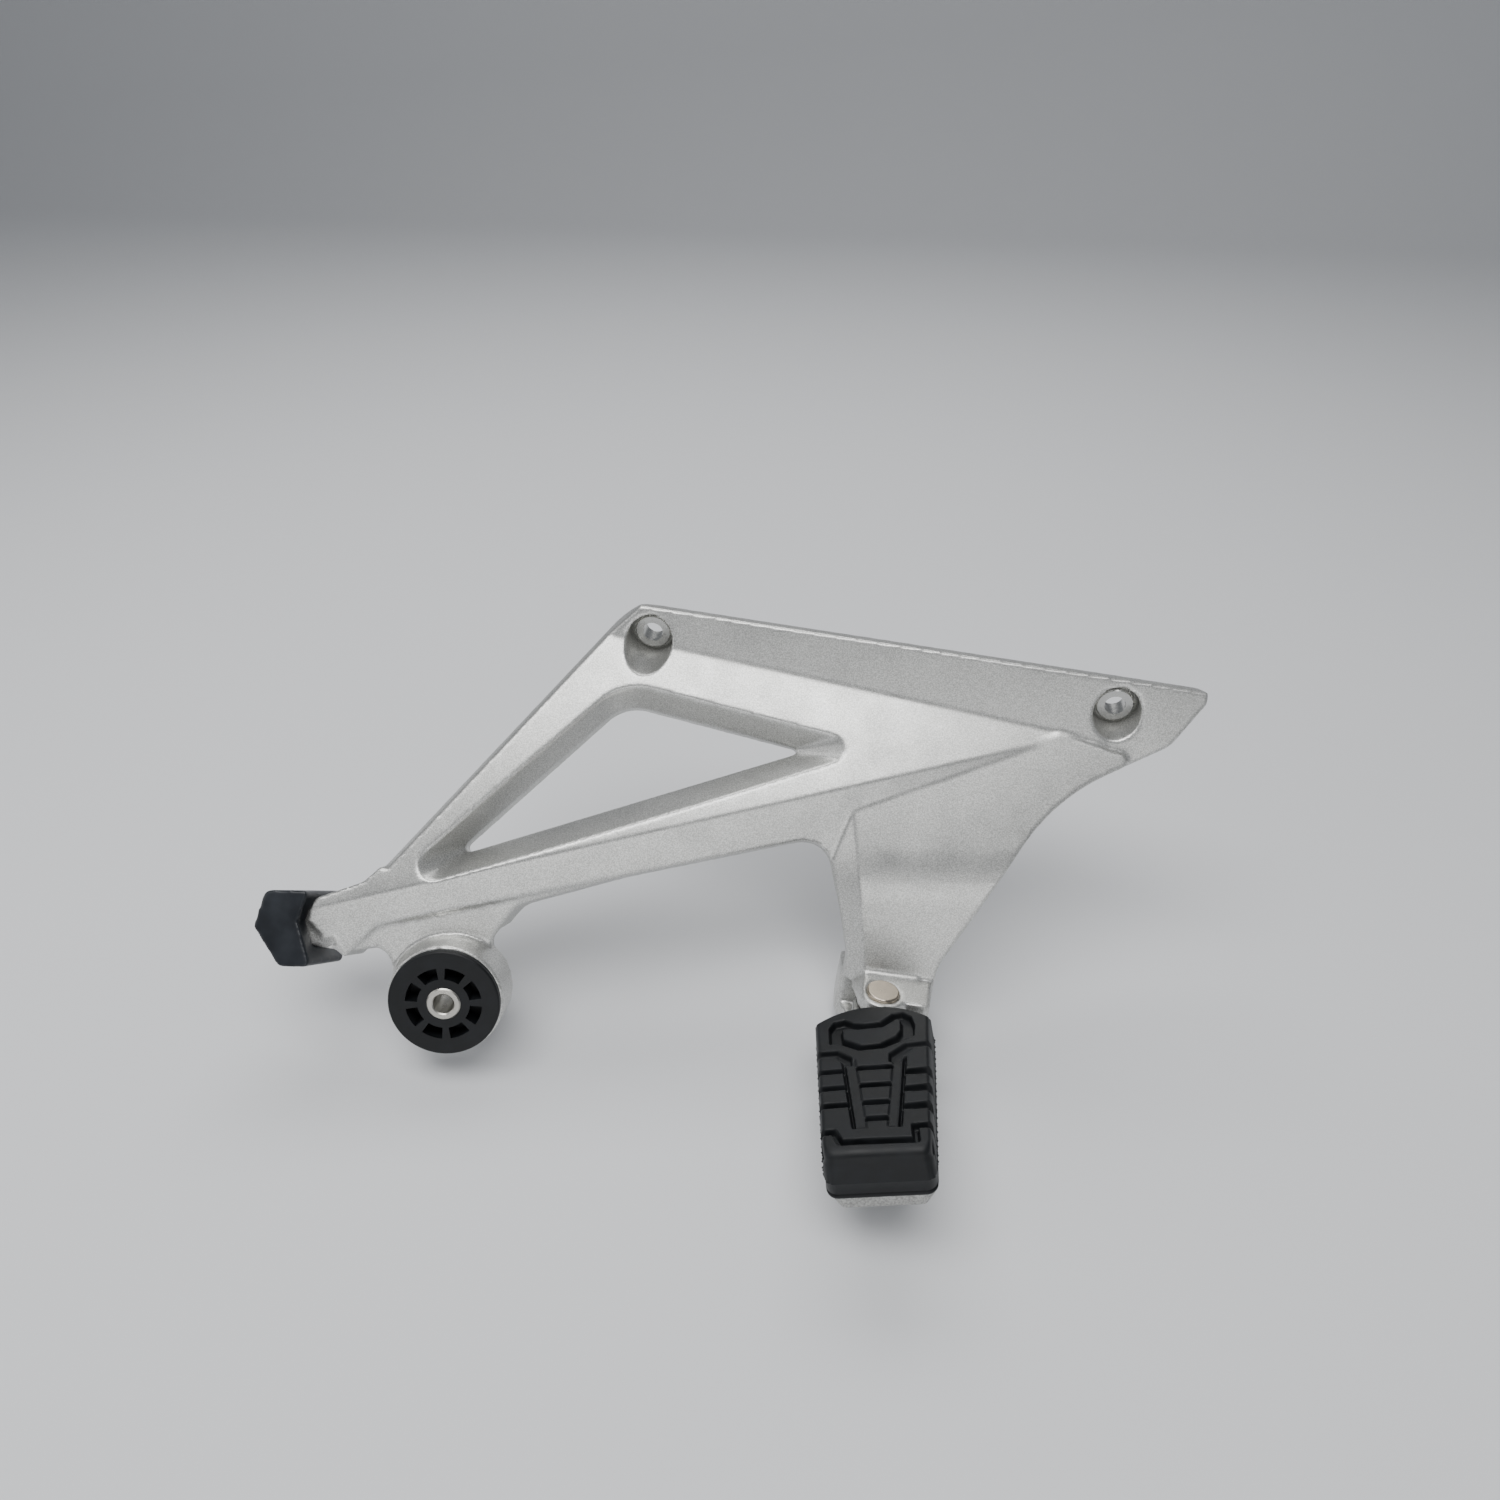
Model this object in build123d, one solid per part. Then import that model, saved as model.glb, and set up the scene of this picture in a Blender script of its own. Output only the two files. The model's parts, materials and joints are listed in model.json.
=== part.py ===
"""Passenger foot peg for a motorcycle, right-hand side: hanger casting, rubber mount and folding peg.

Row frame, millimetres: origin midway between the seats of the two frame bolts, -Y outboard along
those bolts, +X forward, +Z up.  The casting is drawn in a panel frame (u forward, v up the panel,
w outward from it), because the panel leans outward at its foot.
"""
import math
import os
from build123d import *

# ---------------------------------------------------------------- driving dimensions, mm and degrees
# frame bolts (M8) and their pockets
BOLT_SPACING = 203.8        # between the two bolt axes
DRAWN_SPACING = 203.8       # spacing that the panel outlines below are drawn for
BOLT_DROP_ANGLE = 5.7       # the front bolt sits lower by this slope
BOLT_HOLE_R = 4.5
COLLAR_R = 8.0              # head of the steel collar that the bolt clamps on
COLLAR_SHANK_R = 6.0
COLLAR_HEAD_T = 3.5
POCKET_R = 10.0
BOSS_R = 9.5
BOSS_BACK = 8.0             # from the bolt seat to the frame, along the bolt

# panel
PANEL_LEAN = 45.0           # outward normal above horizontal
PANEL_YAW = 6.5             # outward normal turned forward
PANEL_BACK = 12.0           # from the seats' plane to the back of the panel
BAND_STAND = 5.6            # front band above the seats, along the panel normal
BAND_TILT = 18.0            # the band faces down from the panel by this
RIDGE_DROP_TILT = 21.8      # face under the long ridge, down from the panel
LEG_TILT = 20.8             # lower face of the leg, down from the panel
LEG_WALL = 15.0
WEB_STEP = 1.5              # the rubber mount's web lies this far behind the strut face
THROAT_W = -4.0             # narrowest level of the window
CAST_WALL = 5.0             # wall left in front of the hollow back
FLANK_WIDTH = 3.0           # sloping rim outside the front faces
FLANK_DEPTH = 5.0
LEG_CURVE_R = 67.0          # gentle bend where the leg turns down

# rubber mount at the rear
MOUNT_CENTRE = (-168.1 * BOLT_SPACING / DRAWN_SPACING, -129.4, -97.0)
MOUNT_YAW = 10.0
MOUNT_LIFT = 24.3
MOUNT_RUBBER_R = 23.0
MOUNT_FLANGE_T = 3.0
MOUNT_RING_R = 24.0
MOUNT_RING_FLARE = 1.0      # the ring widens by this towards the panel
MOUNT_RING_LENGTH = 17.0
MOUNT_BORE_R = 17.0
SLEEVE_R = 7.0
SLEEVE_BORE_R = 4.25
SLEEVE_PROUD = 0.6
SLOT_INNER_R = 10.8
SLOT_OUTER_R = 15.8
SLOT_COUNT = 8
SLOT_DEPTH = 8.0
SPOKE_ANGLE = 13.0          # rubber left between two slots

# rubber buffer on the end of the rear arm
CAP_WALL = 3.0
CAP_REACH = 19.5            # past the arm's end
CAP_GAP = 1.6               # open line between the buffer and the arm
LUG_REACH = 12.0            # cast lug that the buffer is moulded on
LUG_INSET = 3.5

# peg pivot
PIVOT_POINT = (12.0, -94.5, -101.0)   # centre of the pin's head seat
PIVOT_TILT = 12.0           # the pin leans inboard at its top, so the peg rises outward
PIVOT_FORWARD = 5.5         # and forward
PIN_R = 4.0
PIN_HEAD_R = 7.0
PIN_HEAD_T = 2.2
PIN_RECESS = 1.4
EAR_R = 10.3
EAR_RIGHT = 20.0            # the shelf round the pin is wide on its front side
SHELF_FILLET = 6.0          # between the shelf and the leg
EAR_T = 7.0
EAR_GAP = 14.0
CLEVIS_BACK = 34.0          # how far the ears reach inboard of the pin
CLEVIS_WEB_START = 15.5     # the fork gap ends here
LEG_FOOT = 12.5             # the leg meets the shelf this far inboard of the pin
FACET_TOP = -60.0           # level at which the leg's rear facet starts
FACET_CREST = -12.6         # where its crest starts
FACET_LEAN = 0.104          # sideways run of the crest per mm down the leg
FACET_SLOPE = 0.65
THRUST_T = 0.8
THRUST_R = 6.0
THRUST_PLAY = 0.1
RUN_PLAY = 0.05             # radial running clearance on the pin
BUSH_R = 5.5
WASHER_R = 8.0
WASHER_T = 1.2
CLIP_R = 6.5
CLIP_T = 0.9
CLIP_GROOVE_R = 3.0

# folding peg
TONGUE_R = 11.5
TREAD_FORWARD = 3.1         # the tread points forward by this, and its front side is raised
TREAD_ROLL = 10.0
PEG_ROOT = 11.1             # rubber starts this far outboard of the pin
PEG_LENGTH = 81.0
PEG_ROOT_WIDTH = 48.0
PEG_TIP_WIDTH = 40.0
PEG_NOSE_WIDTH = 31.0       # blunt end between the two cut corners
PEG_NOSE_LENGTH = 5.0
PEG_ROOT_ARC = 38.0
PEG_OFFSET = -5.0           # centre line of the tread, rearward of the pin
PAD_TOP = 3.0               # tread above the head seat
PAD_T = 20.0
PLATE_T = 6.5
PLATE_ROOT = 17.0
PLATE_INSET = 1.5           # plate edge inside the rubber's edge
SPINE_MARGIN = 14.0         # spine ends inside the tread's root and tip
SPINE_WIDTH = 17.0
SPINE_RISE = 8.0
INSERT_T = 2.5
INSERT_WIDTH = 15.0
SCREW_R = 2.5
SCREW_HEAD_R = 4.6
SCREW_HEAD_T = 3.0
SCREW_INSET = 11.0          # from the spine's ends to the screws

# detent that holds the peg folded or down
BALL_R = 2.0
BALL_PITCH_R = 8.0
BALL_PROUD = 1.0
BALL_SLACK = 0.12
DETENT_PLUG_T = 3.0

BIG = 700.0


# ---------------------------------------------------------------- frames and small helpers
def direction(yaw, lift):
    """Unit vector that points outboard, turned forward by yaw and raised by lift."""
    yaw, lift = math.radians(yaw), math.radians(lift)
    return Vector(math.sin(yaw) * math.cos(lift), -math.cos(yaw) * math.cos(lift), math.sin(lift))


PANEL_U = Vector(math.cos(math.radians(PANEL_YAW)), math.sin(math.radians(PANEL_YAW)), 0)
PANEL = Plane(origin=(0, 0, 0), x_dir=PANEL_U, z_dir=direction(PANEL_YAW, PANEL_LEAN))

MOUNT_AXIS = direction(MOUNT_YAW, MOUNT_LIFT)
MOUNT_SIDE = Vector(math.cos(math.radians(MOUNT_YAW)), math.sin(math.radians(MOUNT_YAW)), 0)
MOUNT = Plane(origin=MOUNT_CENTRE, x_dir=MOUNT_SIDE, z_dir=MOUNT_AXIS)

PIN_AXIS = Vector(
    math.sin(math.radians(PIVOT_FORWARD)),
    math.cos(math.radians(PIVOT_FORWARD)) * math.sin(math.radians(PIVOT_TILT)),
    math.cos(math.radians(PIVOT_FORWARD)) * math.cos(math.radians(PIVOT_TILT)),
)
PEG_OUT = Vector(0, -math.cos(math.radians(PIVOT_TILT)), math.sin(math.radians(PIVOT_TILT)))
PIVOT = Plane(origin=PIVOT_POINT, x_dir=PEG_OUT, z_dir=PIN_AXIS)

# the tread leans outboard and up like the pivot's shelf, but is turned and rolled a little on it
TREAD_OUT = direction(TREAD_FORWARD, PIVOT_TILT)
TREAD_LEVEL_UP = (Vector(0, 0, 1) - TREAD_OUT * TREAD_OUT.Z).normalized()
TREAD_LEVEL_SIDE = TREAD_LEVEL_UP.cross(TREAD_OUT)
TREAD_UP = (TREAD_LEVEL_UP * math.cos(math.radians(TREAD_ROLL))
            - TREAD_LEVEL_SIDE * math.sin(math.radians(TREAD_ROLL)))
TREAD = Plane(origin=PIVOT_POINT, x_dir=TREAD_OUT, z_dir=TREAD_UP)

BOLT_X = BOLT_SPACING / 2 * math.cos(math.radians(BOLT_DROP_ANGLE))
BOLT_Z = BOLT_SPACING / 2 * math.sin(math.radians(BOLT_DROP_ANGLE))
REAR_BOLT = Plane(origin=(-BOLT_X, 0, BOLT_Z), x_dir=(1, 0, 0), z_dir=(0, -1, 0))
FRONT_BOLT = Plane(origin=(BOLT_X, 0, -BOLT_Z), x_dir=(1, 0, 0), z_dir=(0, -1, 0))


def rod(radius, low, high):
    """Cylinder on the local Z axis between two heights."""
    return Pos(0, 0, low) * Cylinder(radius, high - low, align=(Align.CENTER, Align.CENTER, Align.MIN))


def tube(outer, inner, low, high):
    return rod(outer, low, high) - rod(inner, low - 1, high + 1)


def block(x0, x1, y0, y1, z0, z1):
    return Pos((x0 + x1) / 2, (y0 + y1) / 2, (z0 + z1) / 2) * Box(x1 - x0, y1 - y0, z1 - z0)


def outline(points, radii):
    """Closed flat shape with one corner radius for each point."""
    line = FilletPolyline(*points, radius=radii, close=True)
    return make_face(line)


def spread(points):
    """Panel points moved apart with the bolts."""
    stretch = BOLT_SPACING / DRAWN_SPACING
    return [(u * stretch, v) for u, v in points]


def panel_shape(points, radii):
    return outline(spread(points), radii)


def prism(shape, low, high):
    return extrude(Pos(0, 0, low) * shape, amount=high - low)


def below(a, b, c):
    """Everything under the plane through three panel points."""
    a, b, c = Vector(*a), Vector(*b), Vector(*c)
    normal = (b - a).cross(c - a).normalized()
    if normal.Z < 0:
        normal = normal * -1
    under = Plane(origin=a, z_dir=normal)
    return under.location * Box(BIG, BIG, BIG, align=(Align.CENTER, Align.CENTER, Align.MAX))


def to_panel(point):
    """Row-frame point in panel coordinates."""
    return PANEL.to_local_coords(Vector(*point))


# ---------------------------------------------------------------- levels of the panel's front faces
REAR_SEAT = to_panel(REAR_BOLT.origin)
FRONT_SEAT = to_panel(FRONT_BOLT.origin)
SEAT_SLOPE = (FRONT_SEAT.Y - REAR_SEAT.Y) / (FRONT_SEAT.X - REAR_SEAT.X)


def band_level(u, v):
    """Front band: level along the line of the bolts and lower towards the crease under it."""
    line = REAR_SEAT.Y - BAND_STAND + SEAT_SLOPE * (u - REAR_SEAT.X)
    return BAND_STAND + math.tan(math.radians(BAND_TILT)) * (v - line)


CREASE_REAR = (-91.0, 6.5)
CREASE_FRONT = (76.0, -27.6)
RIDGE_FRONT = (76.0, -30.9)
RIDGE_REAR = (-238.0, -108.6)
ARM_LEVEL = 17.5            # ridge above the seats' plane at the arm's end
STEP_FOOT = (-8.0, -61.0)   # foot of the step under the ridge, beside the leg
LEG_BEND = -78.0            # the leg's face starts to turn down here
ARM_TOP = (-235.0, -103.6)
ARM_TIP = (-238.4, -113.0)
ARM_LOW = (-225.0, -128.3)

crease_rear = (*CREASE_REAR, band_level(*CREASE_REAR))
crease_front = (*CREASE_FRONT, band_level(*CREASE_FRONT))
ridge_rear = (*RIDGE_REAR, ARM_LEVEL)


def level_on(a, b, c, u, v):
    """Height at (u, v) of the plane through three panel points."""
    a, b, c = Vector(*a), Vector(*b), Vector(*c)
    normal = (b - a).cross(c - a)
    return a.Z - (normal.X * (u - a.X) + normal.Y * (v - a.Y)) / normal.Z


def ridge_v(u):
    slope = (RIDGE_FRONT[1] - RIDGE_REAR[1]) / (RIDGE_FRONT[0] - RIDGE_REAR[0])
    return RIDGE_REAR[1] + slope * (u - RIDGE_REAR[0])


def middle_level(u, v):
    return level_on(crease_rear, crease_front, ridge_rear, u, v)


def step_level(u, v):
    """Face under the ridge."""
    top = ridge_v(u)
    return middle_level(u, top) + math.tan(math.radians(RIDGE_DROP_TILT)) * (v - top)


STEP_LEVEL = step_level(*STEP_FOOT)


def plane_points(level, spots):
    return [(u, v, level(u, v)) for u, v in spots]


def leg_level(v):
    """Height of the leg's face: flat, then an arc, then straight down the slope."""
    run = LEG_BEND - v
    slope = math.radians(LEG_TILT)
    arc_run = LEG_CURVE_R * math.sin(slope)
    if run <= 0:
        return STEP_LEVEL
    if run <= arc_run:
        return STEP_LEVEL - LEG_CURVE_R + math.sqrt(LEG_CURVE_R**2 - run**2)
    return STEP_LEVEL - LEG_CURVE_R * (1 - math.cos(slope)) - math.tan(slope) * (run - arc_run)


# ---------------------------------------------------------------- hanger casting
def panel_outline():
    """Top bar, rear strut, arm, lower strut and the upper part of the leg."""
    points = [
        ARM_TOP, ARM_TIP, ARM_LOW, (-211.0, -114.7), (-37.0, -76.4), (-23.5, -74.5), (-13.5, -122.0),
        (24.5, -131.0), (73.3, -56.5), (123.6, -32.9), (142.3, -9.0), (-110.3, 27.7), (-209.0, -89.8),
        (-216.0, -96.6),
    ]
    radii = [1.5, 1.5, 1.5, 4.0, 6.0, 12.0, 2.0, 2.0, 90.0, 14.0, 5.5, 22.0, 4.0, 6.0]
    return panel_shape(points, radii)


def leg_outline():
    points = [
        (-24.0, -68.0), (-13.5, -122.0), (-16.0, -150.0), (22.0, -150.0),
        (25.5, -129.0), (73.3, -56.5), (110.0, -39.3), (76.0, -28.0), (-8.0, -56.0),
    ]
    radii = [2.0, 3.0, 3.0, 3.0, 20.0, 90.0, 3.0, 3.0, 3.0]
    return panel_shape(points, radii)


def web_outline():
    """Web that carries the rubber mount under the lower strut."""
    points = [
        (-222.0, -126.0), (-207.5, -121.5), (-205.5, -146.0), (-165.5, -146.0), (-165.0, -119.0),
        (-154.0, -105.2), (-110.0, -92.6), (-48.0, -78.9), (-60.0, -72.0), (-208.0, -106.0),
    ]
    radii = [1.0, 7.0, 2.0, 2.0, 6.0, 12.0, 40.0, 0.8, 2.0, 2.0]
    return panel_shape(points, radii)


def window_cut(grow=0.0):
    """Triangular window: drafted walls down to a throat, then straight through."""
    throat = panel_shape([(-185.6, -85.4), (-32.6, -36.6), (-113.0, -16.6)], [2.0, 1.5, 18.0])
    mouth_level = THROAT_W + 28.0
    mouth = panel_shape([(-220.0, -109.5), (70.0, -34.5), (-111.0, 4.6)], [9.0, 14.0, 34.0])
    if grow:
        throat = offset(throat, amount=grow)
        mouth = offset(mouth, amount=grow)
    flare = loft([Pos(0, 0, THROAT_W) * throat, Pos(0, 0, mouth_level) * mouth])
    return flare + prism(throat, -60.0, THROAT_W + 0.01)


def leg_pockets():
    """Two pockets behind the leg, which leave a rib between them."""
    upper = panel_shape([(-6.0, -28.0), (66.0, -27.0), (38.0, -62.0), (-6.0, -60.0)], [4.0] * 4)
    lower_points = [(36.0, -68.0), (40.0, -82.0), (22.0, -108.0), (-4.0, -106.0), (-6.0, -67.0)]
    lower = panel_shape(lower_points, [4.0] * 5)
    upper_room = prism(upper, -60.0, STEP_LEVEL - CAST_WALL)
    return upper_room + prism(lower, -60.0, STEP_LEVEL - 2.4 * CAST_WALL)


def front_solid(shape, drop):
    """A flat shape's prism under the panel's front faces, which may be lowered by a wall."""
    def lowered(points):
        return below(*[(u, v, w - drop) for u, v, w in points])
    slab = prism(shape, -60.0, 40.0)
    band = slab & lowered(plane_points(band_level, [(-100, 10), (100, -20), (0, -60)]))
    middle = slab & lowered([crease_rear, crease_front, ridge_rear])
    middle = middle & lowered(plane_points(step_level, [RIDGE_REAR, RIDGE_FRONT, STEP_FOOT]))
    return band + middle


def hollow_back():
    """Room behind the front faces, kept clear of the bolts, the window walls, the mount and the arm."""
    room = front_solid(offset(panel_outline(), amount=-CAST_WALL), CAST_WALL) - window_cut(CAST_WALL)
    room -= block(-BIG, -205.0, -BIG, BIG, -BIG, BIG)
    for seat in (REAR_BOLT, FRONT_BOLT):
        room -= PANEL.location.inverse() * seat.location * rod(POCKET_R + 0.7 * CAST_WALL, -60.0, 60.0)
    mount_keep = rod(MOUNT_RING_R + MOUNT_RING_FLARE, -60.0, 60.0)
    return room - PANEL.location.inverse() * MOUNT.location * mount_keep


def flank_cut(start, end, level):
    """Sloping rim along a straight edge of the outline, from its start to its end."""
    (start_u, start_v), (end_u, end_v) = spread([start, end])
    length = math.hypot(end_u - start_u, end_v - start_v)
    out_u, out_v = -(end_v - start_v) / length, (end_u - start_u) / length

    def shifted(u, v, distance):
        return u + out_u * distance, v + out_v * distance
    strip = make_face(Polyline(
        shifted(start_u, start_v, 12.0), shifted(end_u, end_v, 12.0),
        shifted(end_u, end_v, -2 * FLANK_WIDTH), shifted(start_u, start_v, -2 * FLANK_WIDTH), close=True))
    crest = [shifted(u, v, -FLANK_WIDTH) for u, v in ((start_u, start_v), (end_u, end_v))]
    crest = [(u, v, level(u, v)) for u, v in crest]
    foot = (start_u, start_v, crest[0][2] - FLANK_DEPTH)
    return prism(strip, -60.0, 60.0) - below(*crest, foot)


def facet_cut():
    """Room beside the leg's sloping facet, whose crest runs straight down the curved face."""
    sections = []
    for step in range(16):
        v = FACET_TOP - 6.0 * step
        (crest_u, _), (outer_u, _) = spread([(FACET_CREST + FACET_LEAN * (FACET_TOP - v), v), (-40.0, v)])
        level = leg_level(v)
        low = level - FACET_SLOPE * (crest_u - outer_u)
        across = Plane(origin=(0, v, 0), x_dir=(1, 0, 0), z_dir=(0, -1, 0))
        shape = Polyline((crest_u, level), (outer_u, low), (outer_u, 60.0), (crest_u, 60.0), close=True)
        sections.append(across * make_face(shape))
    return loft(sections, ruled=True)


def leg_body():
    """Leg with a face that bends down gently, and a sloping facet along its rear side."""
    slope = math.radians(LEG_TILT)
    bend_v = LEG_BEND - LEG_CURVE_R * math.sin(slope)
    foot_v = -175.0
    side = Plane(origin=(0, 0, 0), x_dir=(0, 1, 0), z_dir=(1, 0, 0))
    points = [
        (foot_v, leg_level(foot_v)), (bend_v, leg_level(bend_v)),
        (LEG_BEND, STEP_LEVEL), (0.0, STEP_LEVEL),
    ]
    middle_v = LEG_BEND - LEG_CURVE_R * math.sin(slope / 2)
    arc = ThreePointArc(points[1], (middle_v, leg_level(middle_v)), points[2])
    back = Polyline(
        points[3], (0.0, -PANEL_BACK), (-95.0, -PANEL_BACK),
        (foot_v, leg_level(foot_v) - LEG_WALL), points[0])
    front = [Line(points[0], points[1]).edge(), arc.edge(), Line(points[2], points[3]).edge()]
    profile = Wire([*front, *back.edges()])
    swept = extrude(side * make_face(profile), amount=BIG / 2, both=True)
    leg = swept & prism(leg_outline(), -90.0, 40.0)
    return leg - facet_cut()


def arm_lug():
    """Lug on the arm's end that the rubber buffer grips."""
    points = [
        (ARM_TOP[0] + 3.0, ARM_TOP[1] - LUG_INSET),
        (ARM_TIP[0] - LUG_REACH, ARM_TOP[1] - LUG_INSET - 2.0),
        (ARM_TIP[0] - LUG_REACH, ARM_LOW[1] + LUG_INSET + 4.0),
        (ARM_LOW[0] - 2.0, ARM_LOW[1] + LUG_INSET),
    ]
    shape = panel_shape(points, [1.0, 2.0, 2.0, 1.0])
    return prism(shape, -PANEL_BACK + LUG_INSET, ARM_LEVEL - LUG_INSET - 2.0)


def panel_body():
    slab = block(-BIG, BIG, -BIG, BIG, -PANEL_BACK, BIG)
    front = front_solid(panel_outline(), 0.0) & slab
    front -= flank_cut((-112.0, 27.95), (146.0, -9.5), band_level)
    front -= flank_cut((-209.0, -89.8), (-108.0, 30.4), middle_level)
    web_spots = [(-220, -120), (-60, -80), (-170, -140)]
    web_points = [(u, v, w - WEB_STEP) for u, v, w in plane_points(step_level, web_spots)]
    web = prism(web_outline(), -PANEL_BACK, 40.0) & below(*web_points)
    solid = front + leg_body() + web + arm_lug()
    return solid - window_cut() - hollow_back() - leg_pockets()


def casting():
    body = PANEL.location * panel_body()
    body -= block(-BIG, BIG, BOSS_BACK - 1.0, BIG, -BIG, BIG)
    for seat in (REAR_BOLT, FRONT_BOLT):
        body += seat.location * rod(BOSS_R, -BOSS_BACK, -2.0)
    body += PIVOT.location * clevis_blank() + shelf_fillet()
    ring_back = -MOUNT_FLANGE_T - MOUNT_RING_LENGTH
    ring = Cone(MOUNT_RING_R + MOUNT_RING_FLARE, MOUNT_RING_R, MOUNT_RING_LENGTH,
                align=(Align.CENTER, Align.CENTER, Align.MIN))
    body += MOUNT.location * (Pos(0, 0, ring_back) * ring)
    body -= MOUNT.location * rod(MOUNT_RUBBER_R + 2.5, -MOUNT_FLANGE_T, 40.0)
    body -= MOUNT.location * rod(MOUNT_RING_R + 8.0, ring_back - 40.0, ring_back)
    body -= MOUNT.location * rod(MOUNT_BORE_R, ring_back - 1.0, 1.0)
    for seat in (REAR_BOLT, FRONT_BOLT):
        body -= seat.location * rod(POCKET_R, -COLLAR_HEAD_T, 40.0)
        body -= seat.location * rod(COLLAR_SHANK_R, -BOSS_BACK - 1.0, 1.0)
        body -= seat.location * rod(BOSS_R + 6.0, -BOSS_BACK - 30.0, -BOSS_BACK)
    return body - PIVOT.location * clevis_tools()


def ball_height():
    """Height of the detent ball's centre, in the pivot frame."""
    return tongue_top() + BALL_PROUD - BALL_R


def tongue_top():
    return -EAR_T - THRUST_T - 2 * THRUST_PLAY


def tongue_bottom():
    return -EAR_T - EAR_GAP + THRUST_T + 2 * THRUST_PLAY


def clevis_low():
    return -(2 * EAR_T + EAR_GAP)


def clevis_blank():
    """Ears and the web behind them before machining, in the pivot frame."""
    plan = [
        (-CLEVIS_BACK, -EAR_R - 8.5), (-18.0, -EAR_R - 8.0), (-12.0, -EAR_R - 4.5), (-5.0, -EAR_R - 1.6),
        (0.0, -EAR_R), (5.0, EAR_R - 1.5), (5.0, EAR_RIGHT), (-CLEVIS_WEB_START, EAR_RIGHT + 1.5),
        (-CLEVIS_BACK, EAR_RIGHT + 1.0),
    ]
    upper = outline(plan, [1.0, 4.0, 4.0, 2.0, 0.5, 0.5, 2.5, 3.0, 1.0]) + Circle(EAR_R)
    lower_right = [(0.0, EAR_R), (-CLEVIS_WEB_START, EAR_RIGHT), (-CLEVIS_BACK, EAR_RIGHT)]
    lower = outline(plan[:5] + lower_right, 0.5) + Circle(EAR_R)
    facet = Plane(origin=(0, -PIN_HEAD_R - 1.3, 0), x_dir=(1, 0, 0), z_dir=Vector(0, -1.0, 0.75))
    room = facet.location * Box(BIG, BIG, BIG, align=(Align.CENTER, Align.CENTER, Align.MIN))
    return prism(upper, -EAR_T, 0.0) - room + prism(lower, clevis_low(), -EAR_T)


def shelf_fillet():
    """Hollow curve between the shelf round the pin and the leg's lower face."""
    slope = math.radians(LEG_TILT)
    leg_normal = (PANEL.z_dir * math.cos(slope) - PANEL.y_dir * math.sin(slope)).normalized()
    along = leg_normal.cross(PIN_AXIS).normalized()
    shelf_way = (leg_normal - PIN_AXIS * leg_normal.dot(PIN_AXIS)).normalized()
    leg_way = (PIN_AXIS - leg_normal * leg_normal.dot(PIN_AXIS)).normalized()
    half = math.acos(shelf_way.dot(leg_way)) / 2
    reach = SHELF_FILLET / math.tan(half)
    depth = SHELF_FILLET / math.sin(half) - SHELF_FILLET
    corner = PIVOT.from_local_coords(Vector(-LEG_FOOT, 3.0, 0))
    section = Plane(origin=corner, x_dir=shelf_way, z_dir=along)
    side = section.to_local_coords(corner + leg_way * reach)
    middle = section.to_local_coords(corner + (shelf_way + leg_way).normalized() * depth)
    # the sunk corner makes the fillet overlap both faces
    sunk = section.to_local_coords(corner - (shelf_way + leg_way).normalized() * 1.5)
    edges = [ThreePointArc((reach, 0), (middle.X, middle.Y), (side.X, side.Y)).edge(),
             Line((side.X, side.Y), (sunk.X, sunk.Y)).edge(), Line((sunk.X, sunk.Y), (reach, 0)).edge()]
    return extrude(section * make_face(Wire(edges)), amount=12.0, both=True)


def clevis_tools():
    """What is machined out of the clevis: fork gap, pin hole, head seat and ball track."""
    gap = block(-CLEVIS_WEB_START, 60.0, -40.0, 40.0, clevis_low() + EAR_T, -EAR_T)
    over = block(-LEG_FOOT + 1.0, 60.0, -40.0, 40.0, SHELF_FILLET, 60.0)
    over += block(-2.0, 60.0, -40.0, 40.0, 0.0, 60.0)
    under = block(-CLEVIS_BACK - 30.0, 60.0, -60.0, 60.0, clevis_low() - 60.0, clevis_low())
    head_seat = rod(PIN_HEAD_R + 0.4, -PIN_RECESS, 10.0)
    pin_hole = rod(PIN_R + RUN_PLAY, clevis_low() - 1.0, 1.0)
    ball_track = Pos(0, 0, ball_height()) * Torus(BALL_PITCH_R, BALL_R + BALL_SLACK)
    return gap + over + under + head_seat + pin_hole + ball_track


# ---------------------------------------------------------------- small hanger pieces
def bolt_collar():
    """Steel collar with a head, pressed into a bolt boss."""
    head = rod(COLLAR_R, -COLLAR_HEAD_T, 0.0)
    shank = rod(COLLAR_SHANK_R, -BOSS_BACK, -COLLAR_HEAD_T)
    return chamfer((head + shank).edges().group_by(Axis.Z)[-1], 0.6) - rod(BOLT_HOLE_R, -40.0, 10.0)


def mount_rubber_outer():
    """Front half of the rubber bush, with its flange and its moulded slots."""
    middle = -MOUNT_FLANGE_T - MOUNT_RING_LENGTH / 2
    body = rod(MOUNT_RUBBER_R, -MOUNT_FLANGE_T, 0.0)
    body = fillet(body.edges().group_by(Axis.Z)[-1], 1.0) + rod(MOUNT_BORE_R, middle, -MOUNT_FLANGE_T)
    slot = Circle(SLOT_OUTER_R) - Circle(SLOT_INNER_R)
    span = 360.0 / SLOT_COUNT - SPOKE_ANGLE
    wedge = make_face(Polyline(
        (0, 0),
        (40 * math.cos(math.radians(-span / 2)), 40 * math.sin(math.radians(-span / 2))),
        (40 * math.cos(math.radians(span / 2)), 40 * math.sin(math.radians(span / 2))),
        close=True))
    cut = prism(slot & wedge, -SLOT_DEPTH, 1.0)
    for index in range(SLOT_COUNT):
        body -= Rot(0, 0, (index + 0.5) * 360.0 / SLOT_COUNT) * cut
    return body - rod(SLEEVE_R, -60.0, 10.0)


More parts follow.
